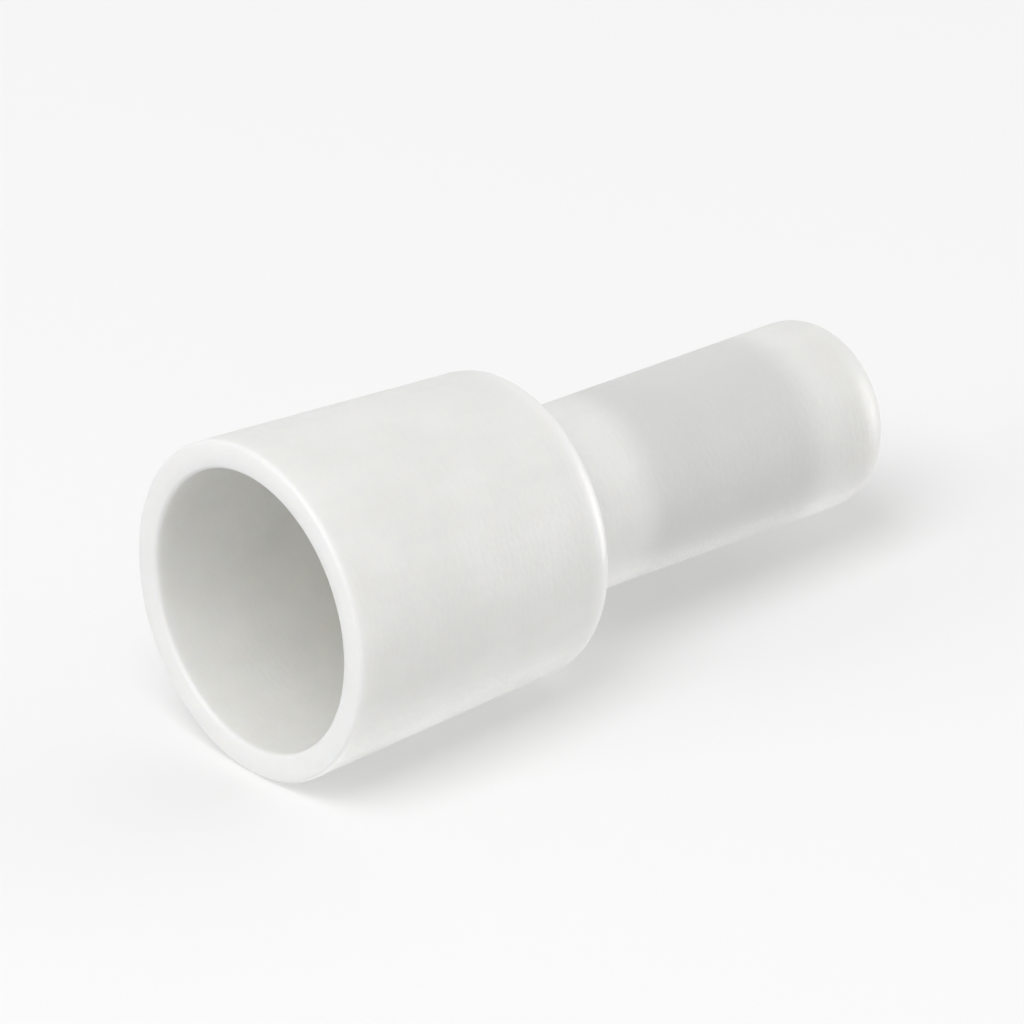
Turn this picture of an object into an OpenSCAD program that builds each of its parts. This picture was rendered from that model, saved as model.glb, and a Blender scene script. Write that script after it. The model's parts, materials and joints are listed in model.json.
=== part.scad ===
// Closed end crimp connector: a stepped nylon cap with a plated crimp sleeve seated in its nose.
// It stands on its mouth rim. The axis is Z, the closed end is up, and lengths are in millimetres.

/* [Barrel] */
// Outside diameter of the barrel at the open mouth
mouth_d = 12; // [11:0.1:14]
// Outside diameter of the barrel where it meets the shoulder
barrel_end_d = 10.6; // [9.6:0.1:11.8]
// Length of the barrel, from the mouth to the face of the shoulder
barrel_l = 11.7; // [8:0.1:16]
// Wall of the barrel
barrel_wall = 1; // [0.7:0.05:1.4]
// Rounding of the two edges of the mouth rim
rim_r = 0.15; // [0.05:0.05:0.3]
// Rounding of the outer edge of the shoulder
shoulder_r = 0.95; // [0.4:0.05:1.2]

/* [Nose] */
// Nylon around the sleeve
nose_wall = 1.42; // [1.2:0.02:1.7]
// Fillet where the nose leaves the shoulder
neck_r = 0.35; // [0.1:0.05:0.5]
// Rounding of the edge of the closed end
nose_end_r = 1.6; // [0.6:0.1:2.1]
// Nylon across the closed end
end_wall = 1.9; // [1.2:0.1:3]
// Width of the shallow dish that keeps the gate mark below the end face
gate_dish_d = 2; // [1.4:0.1:2.2]
// Depth of that dish
gate_dish_h = 0.22; // [0.15:0.01:0.3]
// Width of the gate mark left in the dish
gate_mark_d = 0.5; // [0.3:0.05:0.8]

/* [Wire guide] */
// Angle of the funnel to the axis
funnel_angle = 55; // [45:1:60]
// Nylon left between the funnel and the neck
neck_wall = 0.95; // [0.8:0.05:1.2]
// Length of the throat, from the shoulder to the mouth of the sleeve
throat_l = 3.3; // [2:0.1:6]
// Rounding where the barrel bore runs into the funnel, and the funnel into the throat
guide_r = 0.7; // [0.3:0.1:0.9]

/* [Sleeve] */
// Outside diameter of the sleeve
sleeve_d = 3.7; // [3.3:0.05:4.1]
// Wall of the sleeve
sleeve_wall = 0.45; // [0.35:0.05:0.6]
// Length of the sleeve
sleeve_l = 7.2; // [5:0.1:10]
// Rounding of the bore at the mouth of the sleeve, so that strands run in
bell_r = 0.3; // [0.15:0.05:0.3]
// Rounding of the other cut edges of the sleeve
sleeve_edge_r = 0.1; // [0.05:0.01:0.12]
// Gap all round between the sleeve and its seat
seat_gap = 0.03; // [0.01:0.01:0.06]
// Shelf in the cap that stops the sleeve
shelf_w = 0.25; // [0.2:0.01:0.4]
// Depth of the pocket past the sleeve for the ends of the strands
pocket_l = 1.7; // [0.8:0.1:3]
// Rounding of the floor of the pocket
pocket_r = 0.5; // [0.2:0.1:0.7]

/* [Hidden] */
$fn = 128;
NYLON = [0.90, 0.90, 0.88];
TIN = [0.72, 0.72, 0.71];
// The arcs cross the straight edges they round by this little, so that they always meet
bite = 0.0002;

// The rounded mouth of the sleeve leaves a narrow flat ring, also in a thin wall
bell = min(bell_r, sleeve_wall - 1.3 * sleeve_edge_r);
sleeve_bore_d = sleeve_d - 2 * sleeve_wall;
seat_d = sleeve_d + 2 * seat_gap;
nose_d = seat_d + 2 * nose_wall;
throat_d = nose_d - 2 * neck_wall;
pocket_d = sleeve_d - 2 * shelf_w;

sleeve_z = barrel_l + throat_l;
shelf_z = sleeve_z + sleeve_l;
pocket_z = shelf_z + pocket_l;
cap_l = pocket_z + end_wall;

// The bore keeps one wall along the taper of the barrel and ends where the funnel crosses it
taper = (mouth_d - barrel_end_d) / 2 / barrel_l;
bore_r = mouth_d / 2 - barrel_wall;
funnel_z = (bore_r - throat_d / 2 - barrel_l * tan(funnel_angle)) / (taper - tan(funnel_angle));
funnel_r = bore_r - taper * funnel_z;

function unit(v) = v / norm(v);

// What lies between a corner of a profile and the arc that rounds it.
// A hollow corner names its neighbours the other way round, so that the piece faces the same way.
module corner(before, at, after, r) {
    to_before = unit(before - at);
    to_after = unit(after - at);
    half = acos(to_before * to_after) / 2;
    middle = at + unit(to_before + to_after) * r / sin(half);
    start = at + to_before * r / tan(half);
    end = at + to_after * r / tan(half);
    past = r / 4;
    difference() {
        polygon([
            middle,
            start,
            start + unit(start - middle) * past,
            at + unit(at - middle) * past * 1.5,
            end + unit(end - middle) * past,
            end
        ]);
        translate(middle) circle(r + bite);
    }
}

// Half section of the cap, from the axis outwards
module cap_section() {
    rim_out = [mouth_d / 2, 0];
    shoulder = [barrel_end_d / 2, barrel_l];
    neck = [nose_d / 2, barrel_l];
    end_edge = [nose_d / 2, cap_l];
    end_middle = [0, cap_l];
    floor_middle = [0, pocket_z];
    floor_edge = [pocket_d / 2, pocket_z];
    shelf_in = [pocket_d / 2, shelf_z];
    shelf_out = [seat_d / 2, shelf_z];
    seat_mouth = [seat_d / 2, sleeve_z];
    throat = [throat_d / 2, barrel_l];
    funnel = [funnel_r, funnel_z];
    rim_in = [bore_r, 0];
    difference() {
        union() {
            polygon([
                rim_out, shoulder, neck, end_edge, end_middle, floor_middle, floor_edge,
                shelf_in, shelf_out, seat_mouth, throat, funnel, rim_in
            ]);
            corner(end_edge, neck, shoulder, neck_r);
            corner(shelf_in, floor_edge, floor_middle, pocket_r);
            corner(rim_in, funnel, throat, guide_r);
        }
        corner(rim_in, rim_out, shoulder, rim_r);
        corner(rim_out, shoulder, neck, shoulder_r);
        corner(neck, end_edge, end_middle, nose_end_r);
        corner(seat_mouth, throat, funnel, guide_r);
        corner(funnel, rim_in, rim_out, rim_r);
        gate_dish();
    }
    gate_mark();
}

// Shallow dish in the closed end, part of a ball
module gate_dish() {
    ball_r = (gate_dish_d * gate_dish_d / 4 + gate_dish_h * gate_dish_h) / (2 * gate_dish_h);
    translate([0, cap_l - gate_dish_h + ball_r]) circle(ball_r);
}

// Stub of the gate, broken off half way up the dish
module gate_mark() {
    translate([0, cap_l - 2 * gate_dish_h]) square([gate_mark_d / 2, 1.5 * gate_dish_h]);
}

// Half section of the sleeve, a short tube with a rounded mouth
module sleeve_section() {
    mouth_in = [sleeve_bore_d / 2, sleeve_z];
    mouth_out = [sleeve_d / 2, sleeve_z];
    foot_out = [sleeve_d / 2, shelf_z];
    foot_in = [sleeve_bore_d / 2, shelf_z];
    difference() {
        polygon([mouth_in, mouth_out, foot_out, foot_in]);
        corner(foot_in, mouth_in, mouth_out, bell);
        corner(mouth_in, mouth_out, foot_out, sleeve_edge_r);
        corner(mouth_out, foot_out, foot_in, sleeve_edge_r);
        corner(foot_out, foot_in, mouth_in, sleeve_edge_r);
    }
}

module insulating_cap() {
    color(NYLON) rotate_extrude() cap_section();
}

module crimp_sleeve() {
    color(TIN) rotate_extrude() sleeve_section();
}

insulating_cap();
crimp_sleeve();
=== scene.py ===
# %% [markdown]
# A closed end crimp connector
# Two stripped wires go in at the wide mouth, and a crimp tool squeezes the narrow nose round them.
# The real thing is two pieces: a cap moulded in milky nylon, and a tinned copper sleeve in its nose.
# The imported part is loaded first. It is the fixed frame: every size and place has to agree with it.

import json
import math

import bmesh
import bpy
from mathutils import Matrix, Vector


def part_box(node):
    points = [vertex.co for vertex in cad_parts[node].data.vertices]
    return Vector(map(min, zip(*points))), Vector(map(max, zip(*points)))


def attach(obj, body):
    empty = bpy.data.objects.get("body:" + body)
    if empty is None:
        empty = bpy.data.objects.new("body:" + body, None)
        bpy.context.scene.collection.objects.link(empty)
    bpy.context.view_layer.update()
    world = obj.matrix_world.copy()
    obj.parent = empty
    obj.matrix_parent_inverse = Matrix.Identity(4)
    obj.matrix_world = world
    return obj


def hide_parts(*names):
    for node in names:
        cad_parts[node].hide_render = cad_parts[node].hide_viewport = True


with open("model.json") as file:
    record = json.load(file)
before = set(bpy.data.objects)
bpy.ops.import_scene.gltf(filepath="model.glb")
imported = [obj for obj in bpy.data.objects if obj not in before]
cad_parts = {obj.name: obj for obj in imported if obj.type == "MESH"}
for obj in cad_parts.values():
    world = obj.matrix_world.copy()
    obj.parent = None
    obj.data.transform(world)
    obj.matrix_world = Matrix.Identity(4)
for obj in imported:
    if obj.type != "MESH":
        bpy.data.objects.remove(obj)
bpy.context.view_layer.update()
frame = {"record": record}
MM = 0.001


def in_mm(lengths, digits=2):
    """Lengths in metres as rounded millimetres, for printing."""
    return [round(length / MM, digits) for length in lengths]


# %% [markdown]
# Turning a section
# Both pieces are round about one axis, so each is a half section turned about Z, as on a lathe.
# A section is a short list of corners. Each corner carries the radius that rounds it, and a bevel of
# that one vertex makes the arc, so no arc has to be worked out by hand. Spin then sweeps the wire
# once round. A cylinder with loop cuts would also do, but its tapers and fillets would be harder to
# keep true.

# %% Round one corner
ARC_STEPS = 14


def round_corner(section, vertex, radius):
    """Bevels one vertex of a wire so that the arc has this radius."""
    directions = [(edge.other_vert(vertex).co - vertex.co).normalized() for edge in vertex.link_edges]
    half_angle = directions[0].angle(directions[1]) / 2
    run = radius / math.tan(half_angle)
    bmesh.ops.bevel(
        section, geom=[vertex], offset=run, offset_type="OFFSET", affect="VERTICES",
        segments=ARC_STEPS, profile=0.5, material=-1,
    )


print("a rounded corner has", ARC_STEPS, "steps")

# %% Turn the section
TURN_STEPS = 256
MERGE_DISTANCE = 0.0005 * MM
SHARP_ANGLE = math.radians(30)


def turned_piece(name, corners, closed):
    """Turns corners of (radius, height, rounding), in millimetres, into a mesh object."""
    section = bmesh.new()
    wire = [section.verts.new((r * MM, 0, z * MM)) for r, z, _ in corners]
    for start, end in zip(wire, wire[1:]):
        section.edges.new((start, end))
    if closed:
        section.edges.new((wire[-1], wire[0]))
    for vertex, (_, _, rounding) in zip(wire, corners):
        if rounding:
            round_corner(section, vertex, rounding * MM)
    bmesh.ops.spin(
        section, geom=section.verts[:] + section.edges[:], cent=(0, 0, 0), axis=(0, 0, 1),
        angle=math.tau, steps=TURN_STEPS, use_merge=True,
    )
    bmesh.ops.remove_doubles(section, verts=section.verts[:], dist=MERGE_DISTANCE)
    bmesh.ops.recalc_face_normals(section, faces=section.faces[:])
    mesh = bpy.data.meshes.new(name)
    section.to_mesh(mesh)
    section.free()
    mesh.shade_smooth()
    mesh.set_sharp_from_angle(angle=SHARP_ANGLE)
    piece = bpy.data.objects.new(name, mesh)
    bpy.context.scene.collection.objects.link(piece)
    return piece


print("a full turn has", TURN_STEPS, "steps")

# %% [markdown]
# The cap
# The cap is one moulding. Its barrel tapers a little so that it leaves the mould, its shoulder is
# rounded, and its nose ends in a flat disc with a soft edge. Inside, a funnel leads the strands into
# the sleeve, and a small shelf stops the sleeve. The bore follows the taper of the barrel, so the wall
# stays even. A dish in the closed end keeps the broken stub of the gate below the face.
# Outside and inside could be two shells, bridged at the rim. One section that runs from the axis, over
# the rim and back to the axis gives both at once, with no seam to close.
# Heights come from the frame, so they can't drift from it. The rest are sizes that a box can't show,
# such as walls and roundings, in millimetres.

# %% Heights from the frame
cap_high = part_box("insulating_cap")[1]
sleeve_low, sleeve_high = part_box("crimp_sleeve")
cap_l = cap_high.z / MM
sleeve_z = sleeve_low.z / MM
shelf_z = sleeve_high.z / MM
sleeve_r = sleeve_high.x / MM
print("cap length", round(cap_l, 2), "sleeve from", round(sleeve_z, 2), "to", round(shelf_z, 2))

# %% Barrel and nose
mouth_r = 6.0
barrel_end_r = 5.3
barrel_l = 11.7
barrel_wall = 1.0
rim_round = 0.15
shoulder_round = 0.95
nose_r = 3.3
neck_round = 0.35
nose_end_round = 1.6

taper = (mouth_r - barrel_end_r) / barrel_l
bore_r = mouth_r - barrel_wall
print("the barrel tapers by", round(math.degrees(math.atan(taper)), 2), "degrees")

# %% Funnel, seat and pocket
neck_wall = 0.95
funnel_angle = math.radians(55)
guide_round = 0.7
seat_gap = 0.03
shelf_w = 0.25
end_wall = 1.9
pocket_round = 0.5

throat_r = nose_r - neck_wall
funnel_slope = math.tan(funnel_angle)
funnel_z = (bore_r - throat_r - barrel_l * funnel_slope) / (taper - funnel_slope)
funnel_r = bore_r - taper * funnel_z
seat_r = sleeve_r + seat_gap
pocket_r = sleeve_r - shelf_w
pocket_z = cap_l - end_wall
print("the funnel starts at", round(funnel_z, 2), "and the pocket ends at", round(pocket_z, 2))

# %% Stub of the gate
gate_dish_r = 1.0
gate_dish_h = 0.22
gate_dish_round = 0.6
gate_dish_edge_round = 0.12
gate_mark_r = 0.25
gate_mark_round = 0.04
gate_foot_rise = 0.01
gate_foot_round = 0.03

dish_floor_z = cap_l - gate_dish_h
dish_bend_z = dish_floor_z + gate_dish_h / 4
gate_top_z = cap_l - gate_dish_h / 2
gate_corners = [
    (0, gate_top_z, 0),
    (gate_mark_r, gate_top_z, gate_mark_round),
    (gate_mark_r, dish_floor_z + gate_foot_rise, gate_foot_round),
    (gate_dish_r / 2, dish_bend_z, gate_dish_round),
    (gate_dish_r, cap_l, gate_dish_edge_round),
]
print("the dish keeps the stub", round(cap_l - gate_top_z, 2), "below the end face")

# %% Model the cap
cap_corners = gate_corners + [
    (nose_r, cap_l, nose_end_round),
    (nose_r, barrel_l, neck_round),
    (barrel_end_r, barrel_l, shoulder_round),
    (mouth_r, 0, rim_round),
    (bore_r, 0, rim_round),
    (funnel_r, funnel_z, guide_round),
    (throat_r, barrel_l, guide_round),
    (seat_r, sleeve_z, 0),
    (seat_r, shelf_z, 0),
    (pocket_r, shelf_z, 0),
    (pocket_r, pocket_z, pocket_round),
    (0, pocket_z, 0),
]
cap = turned_piece("nylon_cap", cap_corners, closed=False)
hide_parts("insulating_cap")
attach(cap, "root")
print("cap:", len(cap.data.polygons), "faces, size in mm", in_mm(cap.dimensions, 3))

# %% [markdown]
# The sleeve
# The sleeve is a short length of drawn copper tube with tin on it. Its mouth is rounded inside so that
# strands slip in, and its other cut edges are only broken. A cylinder with a Solidify modifier would
# give the wall but not the rounded mouth, so it is turned in the same way, from a closed section.
# Its bore is read from the record, where it is the mount that takes the wires.

# %% Model the sleeve
wire_bore = next(mount for mount in frame["record"]["mounts"] if mount["name"] == "wire_bore")
sleeve_bore_r = wire_bore["dims"]["r_mm"]
bell_round = 0.3
sleeve_edge_round = 0.1

sleeve_corners = [
    (sleeve_bore_r, sleeve_z, bell_round),
    (sleeve_r, sleeve_z, sleeve_edge_round),
    (sleeve_r, shelf_z, sleeve_edge_round),
    (sleeve_bore_r, shelf_z, sleeve_edge_round),
]
sleeve = turned_piece("tinned_sleeve", sleeve_corners, closed=True)
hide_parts("crimp_sleeve")
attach(sleeve, "root")
print("sleeve:", len(sleeve.data.polygons), "faces, size in mm", in_mm(sleeve.dimensions, 3))

# %% [markdown]
# A small language for finishes
# A finish is a graph of shader nodes. It could be drawn in the editor or linked node by node, but then
# it is hard to read as code. So one class wraps a socket: plus, minus and times add the Math nodes, and
# add() makes every other kind of node. A mask is then an ordinary expression, such as 1 - mask.


# %% The class for shader maths
class Shade:
    """One socket of a node tree, with the operators of arithmetic."""

    def __init__(self, tree, socket=None):
        self.tree = tree
        self.socket = socket

    def add(self, kind, settings=None, sockets=None, out=0):
        """Adds a node: first its settings, then the values or links of its sockets."""
        made = self.tree.nodes.new(kind)
        for name, value in (settings or {}).items():
            setattr(made, name, value)
        for name, value in (sockets or {}).items():
            if isinstance(value, Shade):
                self.tree.links.new(value.socket, made.inputs[name])
            else:
                made.inputs[name].default_value = value
        return Shade(self.tree, made.outputs[out] if made.outputs else None)

    def other(self, out):
        """Another output of the same node."""
        return Shade(self.tree, self.socket.node.outputs[out])

    def math(self, operation, first, second=0.0):
        """A Math node on one or two values."""
        return self.add("ShaderNodeMath", {"operation": operation}, {0: first, 1: second})

    def __add__(self, value):
        return self.math("ADD", self, value)

    def __radd__(self, value):
        return self.math("ADD", value, self)

    def __sub__(self, value):
        return self.math("SUBTRACT", self, value)

    def __rsub__(self, value):
        return self.math("SUBTRACT", value, self)

    def __mul__(self, value):
        return self.math("MULTIPLY", self, value)

    def __rmul__(self, value):
        return self.math("MULTIPLY", value, self)


print("finishes are written with", Shade.__name__)

# %% Masks, noise, colours and bump
# A Mix node has its own sockets for numbers, vectors and colours. These are the ones for colours.
MIX_MASK = 0
MIX_FIRST = 6
MIX_SECOND = 7
MIX_RESULT = 2


def ramp(value, low, high):
    """0 below low, 1 above high, and smooth between them."""
    return value.add(
        "ShaderNodeMapRange", {"interpolation_type": "SMOOTHSTEP"},
        {"Value": value, "From Min": low, "From Max": high},
    )


def noise(place, scale, detail, roughness=0.5):
    """Soft noise between 0 and 1. The scale is in features for each metre."""
    return place.add(
        "ShaderNodeTexNoise", {},
        {"Vector": place, "Scale": scale, "Detail": detail, "Roughness": roughness},
    )


def blend(mask, first, second):
    """One colour where the mask is 0 and another where it is 1."""
    return mask.add(
        "ShaderNodeMix", {"data_type": "RGBA"},
        {MIX_MASK: mask, MIX_FIRST: first, MIX_SECOND: second}, out=MIX_RESULT,
    )


def bump(height, strength, distance):
    """A normal that leans with a height. The distance is the depth at a height of 1, in metres."""
    return height.add(
        "ShaderNodeBump", {},
        {"Height": height, "Strength": strength, "Distance": distance}, out="Normal",
    )


def new_material(name):
    """An empty material, and the start of its expressions."""
    material = bpy.data.materials.new(name)
    material.use_nodes = True
    material.node_tree.nodes.clear()
    return material, Shade(material.node_tree)


print("helpers:", [helper.__name__ for helper in (ramp, noise, blend, bump, new_material)])

# %% [markdown]
# Natural nylon
# Nylon with no pigment is milky: light goes in, scatters and comes out some way off, so thin edges
# glow and the metal sleeve shows through the nose as a soft grey band. Subsurface scattering does the
# first, with a small share of plain transmission. More transmission could show the sleeve, but it turns
# the whole body dark. So the band is painted shade in the colour, where a viewer with no scattering
# still shows it.
# The skin is satin: a fine orange peel, faint rings from the turned mould, and streaks along the flow of
# the melt, which came from the gate at the closed end. The rim and the shoulder, which rub on other
# connectors in the bag, are a little lighter. On the rounding of the shoulder, the lighter colour is
# also a painted highlight.

# %% Patterns in the nylon
CLOUD_SCALE = 420
FLOW_SCALE = 1400
PEEL_SCALE = 4200
FLOW_STRETCH = (1, 1, 0.07)
RING_PITCH = 0.24 * MM
RING_WANDER = 0.8

nylon, start = new_material("natural_nylon")
place = start.add("ShaderNodeTexCoord", out="Object")
height = place.add("ShaderNodeSeparateXYZ", {}, {"Vector": place}, out="Z")
along_flow = place.add("ShaderNodeMapping", {}, {"Vector": place, "Scale": FLOW_STRETCH})
clouds = noise(place, CLOUD_SCALE, detail=2)
flow = noise(along_flow, FLOW_SCALE, detail=1)
peel = noise(place, PEEL_SCALE, detail=1)
rings = start.math("SINE", math.tau * (height * (1 / RING_PITCH) + flow * RING_WANDER))
print("clouds, streaks and peel in mm", in_mm((1 / CLOUD_SCALE, 1 / FLOW_SCALE, 1 / PEEL_SCALE)))

# %% Places on the nylon
SHOW_THROUGH_BLUR = 0.8 * MM
THICK_START = pocket_z * MM - 2 * SHOW_THROUGH_BLUR
THICK_FULL = pocket_z * MM + SHOW_THROUGH_BLUR
SHOULDER_START = (barrel_l - 1.3) * MM
SHOULDER_FULL = (barrel_l - 0.6) * MM
SHOULDER_INSIDE = 4.1 * MM
SHOULDER_OUTSIDE = 4.6 * MM
RIM_DEPTH = 0.3 * MM

thick_end = ramp(height, THICK_START, THICK_FULL)
past_mouth = ramp(height, sleeve_low.z - SHOW_THROUGH_BLUR, sleeve_low.z + SHOW_THROUGH_BLUR)
past_foot = ramp(height, sleeve_high.z - SHOW_THROUGH_BLUR, sleeve_high.z + SHOW_THROUGH_BLUR)
# painted shade: the nylon is made darker where the sleeve lies behind the wall
sleeve_painted_shade = past_mouth - past_foot

x = height.other("X")
y = height.other("Y")
radius = start.math("SQRT", x * x + y * y)
# lighter shoulder and rim: wear on both, and a painted highlight on the shoulder's rounding
on_shoulder = ramp(height, SHOULDER_START, SHOULDER_FULL)
on_shoulder = on_shoulder * ramp(radius, SHOULDER_INSIDE, SHOULDER_OUTSIDE)
on_rim = 1 - ramp(height, 0, RIM_DEPTH)
rubbed_and_highlit = start.math("MAXIMUM", on_shoulder, on_rim)
print("the sleeve shows between", in_mm((sleeve_low.z, sleeve_high.z)))

# %% Colours of the nylon
CLOUD_SHARE = 0.75
CLOUD_LOW = 0.36
CLOUD_HIGH = 0.66
DULL_MILK = (0.855, 0.855, 0.836, 1)
PALE_MILK = (0.885, 0.885, 0.868, 1)
THICK_MILK = (0.83, 0.82, 0.785, 1)
THICK_SHARE = 0.4
# the grey of the painted shade over the sleeve
SLEEVE_SHADE_GREY = (0.67, 0.67, 0.665, 1)
SLEEVE_SHADE_SHARE = 0.6
# the colour of wear, which on the shoulder is also a painted highlight
RUBBED_AND_HIGHLIT_MILK = (0.93, 0.93, 0.925, 1)
RUBBED_AND_HIGHLIT_SHARE = 0.6

cloudy = ramp(clouds * CLOUD_SHARE + flow * (1 - CLOUD_SHARE), CLOUD_LOW, CLOUD_HIGH)
milk = blend(cloudy, DULL_MILK, PALE_MILK)
milk = blend(thick_end * THICK_SHARE, milk, THICK_MILK)
# paints the shade of the sleeve into the colour of the nose
milk = blend(sleeve_painted_shade * SLEEVE_SHADE_SHARE, milk, SLEEVE_SHADE_GREY)
# paints the lighter wear and the shoulder's painted highlight
milk = blend(rubbed_and_highlit * RUBBED_AND_HIGHLIT_SHARE, milk, RUBBED_AND_HIGHLIT_MILK)
print("milk from", DULL_MILK[0], "to", PALE_MILK[0], "and", RUBBED_AND_HIGHLIT_MILK[0], "where it is rubbed")

# %% Skin of the nylon
NOISE_MIDDLE = 0.5
SATIN = 0.37
LEAST_ROUGHNESS = 0.3
CLOUD_ROUGHNESS = 0.25
PEEL_ROUGHNESS = 0.2
FLOW_HEIGHT = 0.35
RING_HEIGHT = 0.05
SKIN_STRENGTH = 0.7
SKIN_DEPTH = 0.030 * MM

satin = SATIN + (clouds - NOISE_MIDDLE) * CLOUD_ROUGHNESS + (peel - NOISE_MIDDLE) * PEEL_ROUGHNESS
skin = peel + flow * FLOW_HEIGHT + rings * RING_HEIGHT
nylon_surface = start.add("ShaderNodeBsdfPrincipled", {}, {
    "Base Color": milk,
    "Roughness": start.math("MAXIMUM", satin, LEAST_ROUGHNESS),
    "IOR": 1.53,
    "Subsurface Weight": 1.0,
    "Subsurface Radius": (1.0, 0.95, 0.86),
    "Subsurface Scale": 0.75 * MM,
    "Transmission Weight": 0.18,
    "Normal": bump(skin, SKIN_STRENGTH, SKIN_DEPTH),
})
start.add("ShaderNodeOutputMaterial", {}, {"Surface": nylon_surface})
cap.data.materials.append(nylon)
print("nylon:", len(nylon.node_tree.nodes), "nodes")

# %% [markdown]
# Tinned copper
# Tube is drawn through a die, so it has fine lines along its length, and hot tin freezes in soft
# patches. Where the tube was cut, the tin is thin on the edge and a little copper warms the colour.
# The lines could follow a UV map, but that has a seam. Noise stretched along the axis has none.

# %% Patterns in the tin
LINE_SCALE = 9000
LINE_GRAIN = 0.7
LINE_STRETCH = (1, 1, 0.02)
PATCH_SCALE = 900
CUT_EDGE = 0.12 * MM

tin, start = new_material("tinned_copper")
place = start.add("ShaderNodeTexCoord", out="Object")
height = place.add("ShaderNodeSeparateXYZ", {}, {"Vector": place}, out="Z")
along_tube = place.add("ShaderNodeMapping", {}, {"Vector": place, "Scale": LINE_STRETCH})
lines = noise(along_tube, LINE_SCALE, detail=2, roughness=LINE_GRAIN)
patches = noise(place, PATCH_SCALE, detail=2)
mouth_edge = 1 - ramp(height, sleeve_low.z, sleeve_low.z + CUT_EDGE)
foot_edge = ramp(height, sleeve_high.z - CUT_EDGE, sleeve_high.z)
print("lines and patches in mm", in_mm((1 / LINE_SCALE, 1 / PATCH_SCALE)))

# %% Colours and shine of the tin
PATCH_LOW = 0.35
PATCH_HIGH = 0.65
GREY_TIN = (0.68, 0.67, 0.655, 1)
BRIGHT_TIN = (0.80, 0.79, 0.77, 1)
BARE_COPPER = (0.80, 0.55, 0.42, 1)
COPPER_SHARE = 0.35
TIN_ROUGHNESS = 0.24
LINE_ROUGHNESS = 0.16
PATCH_ROUGHNESS = 0.12
PATCH_HEIGHT = 0.4
LINE_STRENGTH = 0.5
LINE_DEPTH = 0.006 * MM

silver = blend(ramp(patches, PATCH_LOW, PATCH_HIGH), GREY_TIN, BRIGHT_TIN)
silver = blend((mouth_edge + foot_edge) * COPPER_SHARE, silver, BARE_COPPER)
tin_surface = start.add("ShaderNodeBsdfPrincipled", {}, {
    "Base Color": silver,
    "Metallic": 1.0,
    "Roughness": TIN_ROUGHNESS + lines * LINE_ROUGHNESS + (patches - NOISE_MIDDLE) * PATCH_ROUGHNESS,
    "Normal": bump(lines + patches * PATCH_HEIGHT, LINE_STRENGTH, LINE_DEPTH),
})
start.add("ShaderNodeOutputMaterial", {}, {"Surface": tin_surface})
sleeve.data.materials.append(tin)
print("tin:", len(tin.node_tree.nodes), "nodes")

# %% [markdown]
# The camera
# The drawing looks into the mouth, with the nose pointing away and up to the right. A camera could be
# moved by eye until it fits, but the drawing can be measured. Its mouth is an ellipse, and the ratio of
# its axes gives the angle between the line of sight and the axis of the part. The nose has nearly
# parallel outlines, so a very long lens is right. The part stands on its mouth, so this view is from
# below, with the camera rolled until the axis rises as it does in the drawing.

# %% What the drawing gives
FRAME_PX = 1024
PX_PER_MM = 29.85
MOUTH_PX = Vector((248.6, 612.3))
MOUTH_RATIO = 0.571
AXIS_RISE = math.radians(19.6)

sight_to_axis = math.acos(MOUTH_RATIO)
table_to_camera = math.pi / 2 - math.atan(math.tan(AXIS_RISE) / MOUTH_RATIO)
print("line of sight", round(math.degrees(sight_to_axis), 1), "degrees from the axis")

# %% Directions of the picture
TABLE_AZIMUTH = math.radians(45)


def level(azimuth):
    """A level direction. An azimuth of 0 points along -Y, and one of 90 degrees along +X."""
    return Vector((math.sin(azimuth), -math.cos(azimuth), 0))


up_the_axis = Vector((0, 0, 1))
to_camera = level(TABLE_AZIMUTH + table_to_camera) * math.sin(sight_to_axis) - up_the_axis * MOUTH_RATIO
along = (up_the_axis + to_camera * MOUTH_RATIO).normalized()
across = to_camera.cross(along)
picture_right = along * math.cos(AXIS_RISE) - across * math.sin(AXIS_RISE)
picture_up = along * math.sin(AXIS_RISE) + across * math.cos(AXIS_RISE)
print("towards the camera", [round(share, 3) for share in to_camera])

# %% Place the camera
LENS = 800
SENSOR = 36
FARTHEST_SEEN = 3

frame_middle = Vector((FRAME_PX / 2, FRAME_PX / 2))
offset = (frame_middle - MOUTH_PX) / PX_PER_MM * MM
aim = picture_right * offset.x - picture_up * offset.y
distance = FRAME_PX / PX_PER_MM * MM * LENS / SENSOR

lens = bpy.data.cameras.new("camera")
lens.lens = LENS
lens.sensor_width = SENSOR
lens.clip_end = distance * FARTHEST_SEEN
camera = bpy.data.objects.new("camera", lens)
camera_turn = Matrix((picture_right, picture_up, to_camera)).transposed().to_4x4()
camera.matrix_world = Matrix.Translation(aim + to_camera * distance) @ camera_turn
bpy.context.scene.collection.objects.link(camera)
bpy.context.scene.camera = camera
print("camera at", in_mm(camera.location, 1), "mm")

# %% [markdown]
# The stage
# The floor is where the part stands. A second pale surface touches the barrel along one side: in the
# main picture it is the table that the part lies on, and from elsewhere it is a backdrop. One bent sheet
# could be both, but it would hide the part from behind. So each is a flat square that shows its front
# only, and light passes through it as if it were thin air, so that it doesn't darken the part. A little
# of its brightness is its own glow, and the rest is diffuse, which keeps the shadow of the part.

# %% A pale finish
STAGE_DIFFUSE = (0.86, 0.86, 0.86, 1)
WHITE = (1, 1, 1, 1)


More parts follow.
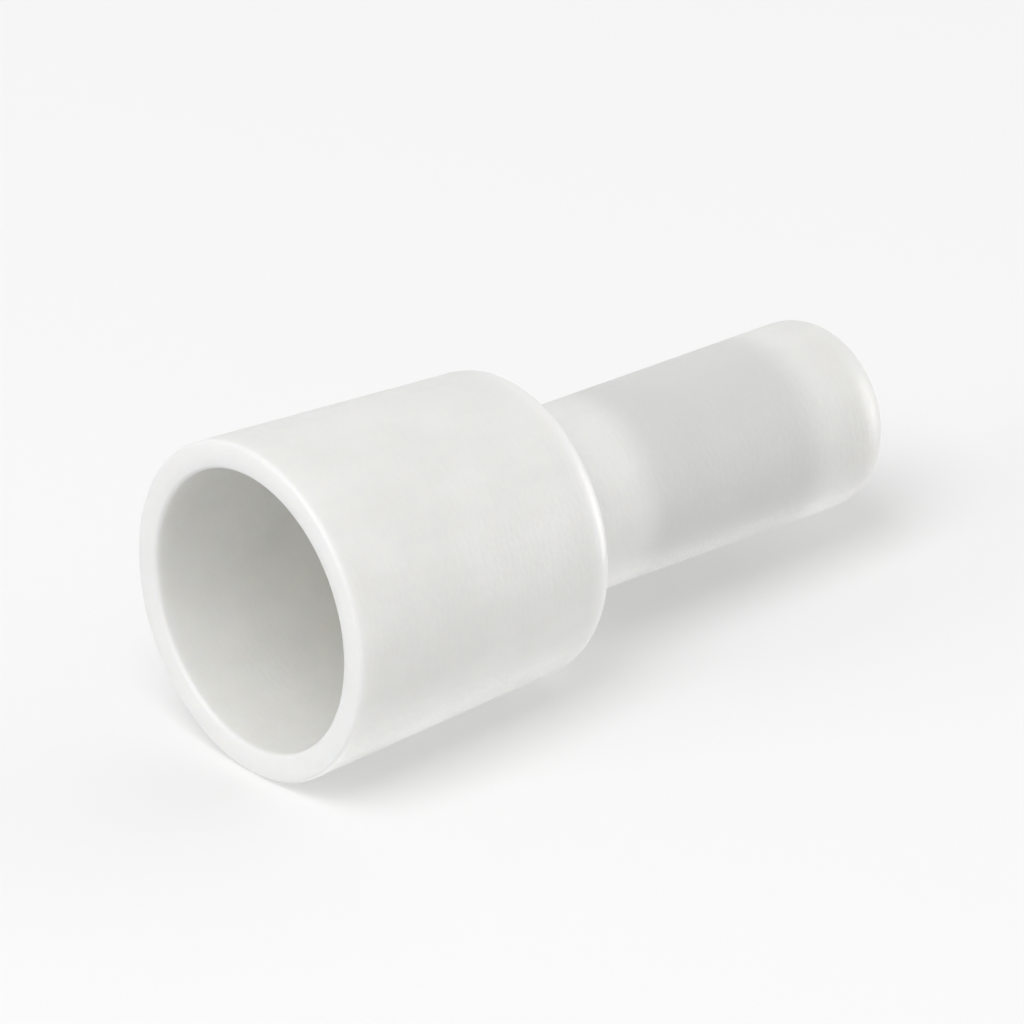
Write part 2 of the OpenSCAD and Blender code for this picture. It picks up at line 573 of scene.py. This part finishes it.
def pale_surface(name, glow):
    """A pale finish that only the front of a surface shows."""
    material, start = new_material(name)
    front = 1 - start.add("ShaderNodeNewGeometry", out="Backfacing")
    matt = start.add("ShaderNodeBsdfDiffuse", {}, {"Color": STAGE_DIFFUSE})
    own = start.add("ShaderNodeEmission", {}, {"Color": WHITE, "Strength": glow})
    pale = start.add("ShaderNodeAddShader", {}, {0: matt, 1: own})
    clear = start.add("ShaderNodeBsdfTransparent")
    mixed = start.add("ShaderNodeMixShader", {}, {0: front, 1: clear, 2: pale})
    start.add("ShaderNodeOutputMaterial", {}, {"Surface": mixed})
    return material


print("the stage throws back", STAGE_DIFFUSE[0], "of the light")

# %% Floor and table
STAGE_SIZE = 1.2


def stage_plane(name, middle, normal, finish):
    """A large square that faces along its normal, for the eye and for reflections only."""
    square = bmesh.new()
    bmesh.ops.create_grid(square, x_segments=1, y_segments=1, size=STAGE_SIZE / 2)
    turn = Vector((0, 0, 1)).rotation_difference(normal).to_matrix().to_4x4()
    bmesh.ops.transform(square, matrix=Matrix.Translation(middle) @ turn, verts=square.verts[:])
    mesh = bpy.data.meshes.new(name)
    square.to_mesh(mesh)
    square.free()
    mesh.materials.append(finish)
    plane = bpy.data.objects.new(name, mesh)
    plane.visible_diffuse = False
    plane.visible_shadow = False
    bpy.context.scene.collection.objects.link(plane)
    return plane


table_normal = (level(TABLE_AZIMUTH) - up_the_axis * taper).normalized()
table_middle = level(TABLE_AZIMUTH) * -mouth_r * MM
floor = stage_plane("floor", Vector((0, 0, 0)), up_the_axis, pale_surface("pale_floor", glow=0.045))
table = stage_plane("table", table_middle, table_normal, pale_surface("pale_table", glow=0.035))
print("stage:", floor.name, "and", table.name, "each", STAGE_SIZE, "m wide")

# %% [markdown]
# The light
# Soft light from a pale room comes first, from the world. A picture of a studio could give the rest,
# but it would be another file to carry. So four large softboxes give the form: a key over the table, a
# top light that draws the shine along the shoulder, one at the side for the rim, and one from beneath
# the table, in place of the light that a pale table throws back. Each is set by what it adds to a white
# card that faces it, so the sum stays near 1 and pale surfaces don't clip.

# %% The room
ROOM_LIGHT = 0.67
ROOM_SEEN = 0.98

world = bpy.data.worlds.new("pale_room")
world.use_nodes = True
world.node_tree.nodes.clear()
bpy.context.scene.world = world
start = Shade(world.node_tree)
sight = start.add("ShaderNodeLightPath", out="Is Camera Ray")
seen = start.math("MAXIMUM", sight, sight.other("Is Glossy Ray"))
seen = start.math("MAXIMUM", seen, sight.other("Is Transmission Ray"))
lit = start.add("ShaderNodeBackground", {}, {"Color": WHITE, "Strength": ROOM_LIGHT})
shown = start.add("ShaderNodeBackground", {}, {"Color": WHITE, "Strength": ROOM_SEEN})
room = start.add("ShaderNodeMixShader", {}, {0: seen, 1: lit, 2: shown})
start.add("ShaderNodeOutputWorld", {}, {"Surface": room})
print("the room gives", ROOM_LIGHT, "of the light")

# %% The softboxes
LAMP_DISTANCE = 0.60


def softbox(name, direction, on_a_card, spread):
    """A square lamp aimed at the part. Its spread is its width for each metre of distance."""
    lamp = bpy.data.lights.new(name, "AREA")
    lamp.size = spread * LAMP_DISTANCE
    lamp.energy = on_a_card * math.pi ** 2 * LAMP_DISTANCE ** 2
    holder = bpy.data.objects.new(name, lamp)
    middle = up_the_axis * cap_l * MM / 2
    holder.location = middle + direction.normalized() * LAMP_DISTANCE
    holder.rotation_euler = direction.to_track_quat("Z", "Y").to_euler()
    bpy.context.scene.collection.objects.link(holder)


over_the_table = picture_right * -0.25 + picture_up * 0.55 + to_camera * 0.8
over_the_nose = up_the_axis + level(TABLE_AZIMUTH + math.pi / 2) * 0.3
beside_the_rim = picture_right * -0.85 - picture_up * 0.05 + to_camera * 0.5
beneath_the_table = level(TABLE_AZIMUTH + math.radians(187)) + up_the_axis * 0.3
softbox("key", over_the_table, on_a_card=0.42, spread=0.67)
softbox("top", over_the_nose, on_a_card=0.41, spread=0.63)
softbox("rim_side", beside_the_rim, on_a_card=0.25, spread=0.43)
softbox("bounce", beneath_the_table, on_a_card=0.27, spread=0.67)

# %% [markdown]
# Finish
# Colours are shown as they are written, with the plain Standard view.

# %% The view transform
bpy.context.scene.view_settings.view_transform = "Standard"
